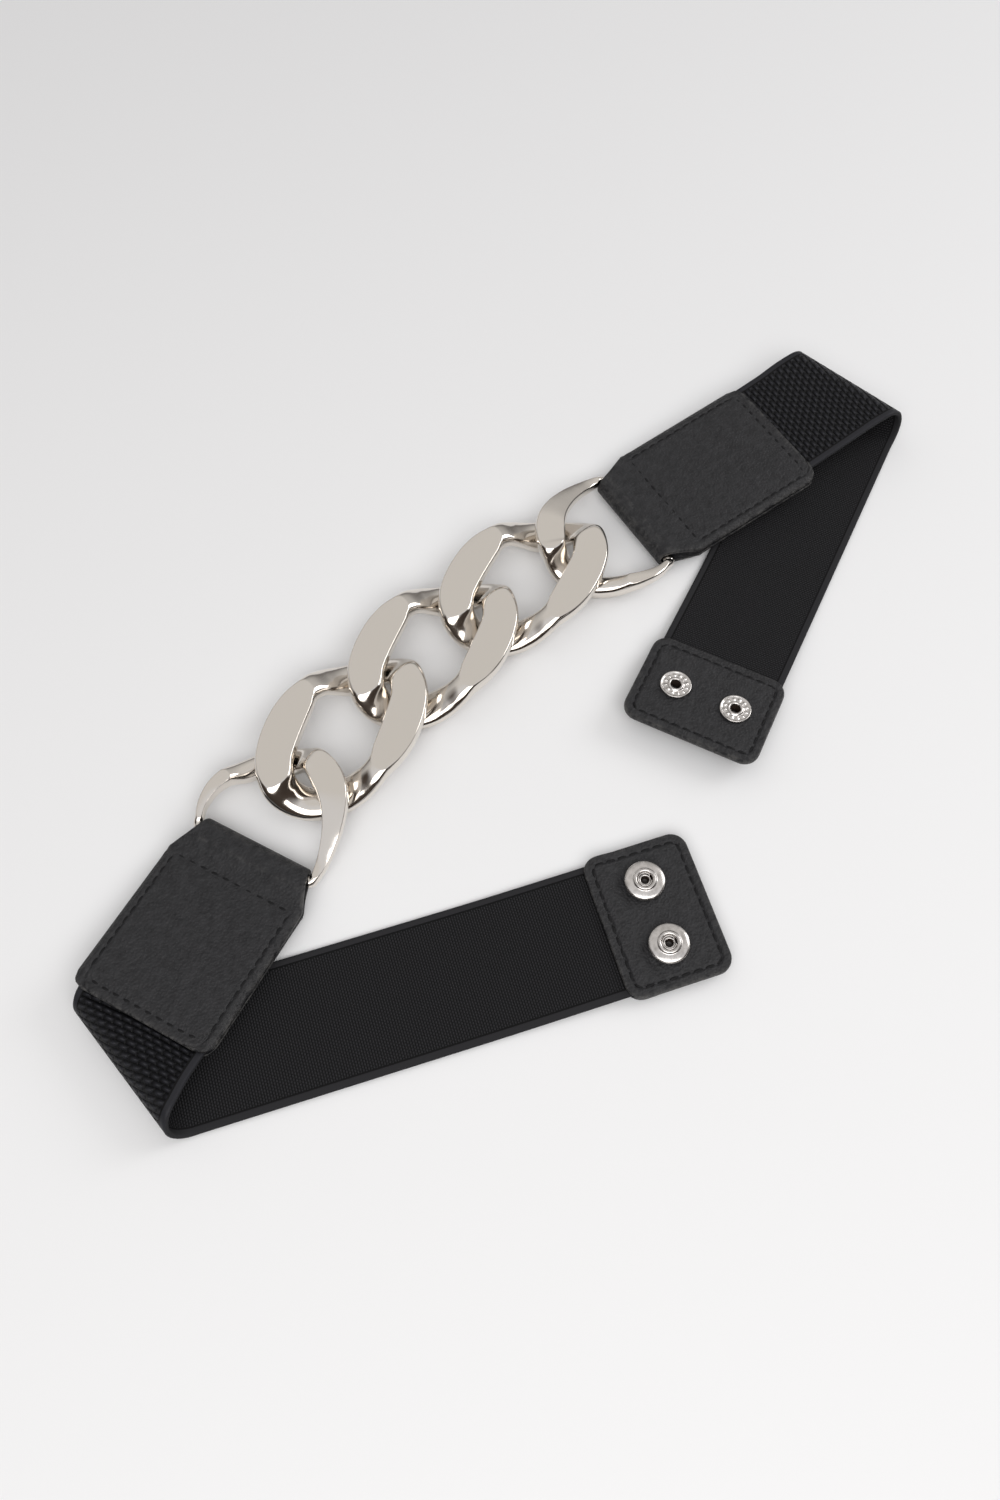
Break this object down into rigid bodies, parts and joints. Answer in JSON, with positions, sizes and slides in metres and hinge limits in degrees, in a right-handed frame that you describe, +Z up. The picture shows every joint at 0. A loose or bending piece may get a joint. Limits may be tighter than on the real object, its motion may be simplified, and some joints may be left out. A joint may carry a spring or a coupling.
{
  "type": "elastic belt",
  "caption": "Elastic waist belt with a polished curb chain front held in leather loops, folded elastic straps, and leather tabs that close with ring snaps.",
  "frame": {"origin": "middle of the laid belt's bounding box, on the table it lies on", "axes": "+X along the chain from the socket side to the stud side, +Z up off the table; seen from above +Y points from the tabs to the chain"},
  "size_m": [0.3282, 0.1526, 0.014],
  "materials": {
    "chain_metal": "polished nickel plate on cast metal",
    "snap_metal": "bright nickel plate on pressed brass",
    "leather": "fine-grained charcoal black leather, matte",
    "elastic": "black elastic webbing, fine knit inside and a raised braid outside"
  },
  "bodies": {
    "root": {"chain_link_1": "chain_metal", "chain_link_2": "chain_metal", "chain_link_3": "chain_metal", "end_link_left": "chain_metal", "end_link_right": "chain_metal", "leather_loop_left": "leather", "leather_loop_right": "leather", "elastic_strap_left": "elastic", "elastic_strap_right": "elastic", "socket_tab": "leather", "stud_tab": "leather", "snap_socket_1": "snap_metal", "snap_socket_2": "snap_metal", "snap_socket_rivet_1": "snap_metal", "snap_socket_rivet_2": "snap_metal", "snap_stud_eyelet_1": "snap_metal", "snap_stud_eyelet_2": "snap_metal", "snap_stud_1": "snap_metal", "snap_stud_2": "snap_metal"}
  },
  "joints": []
}
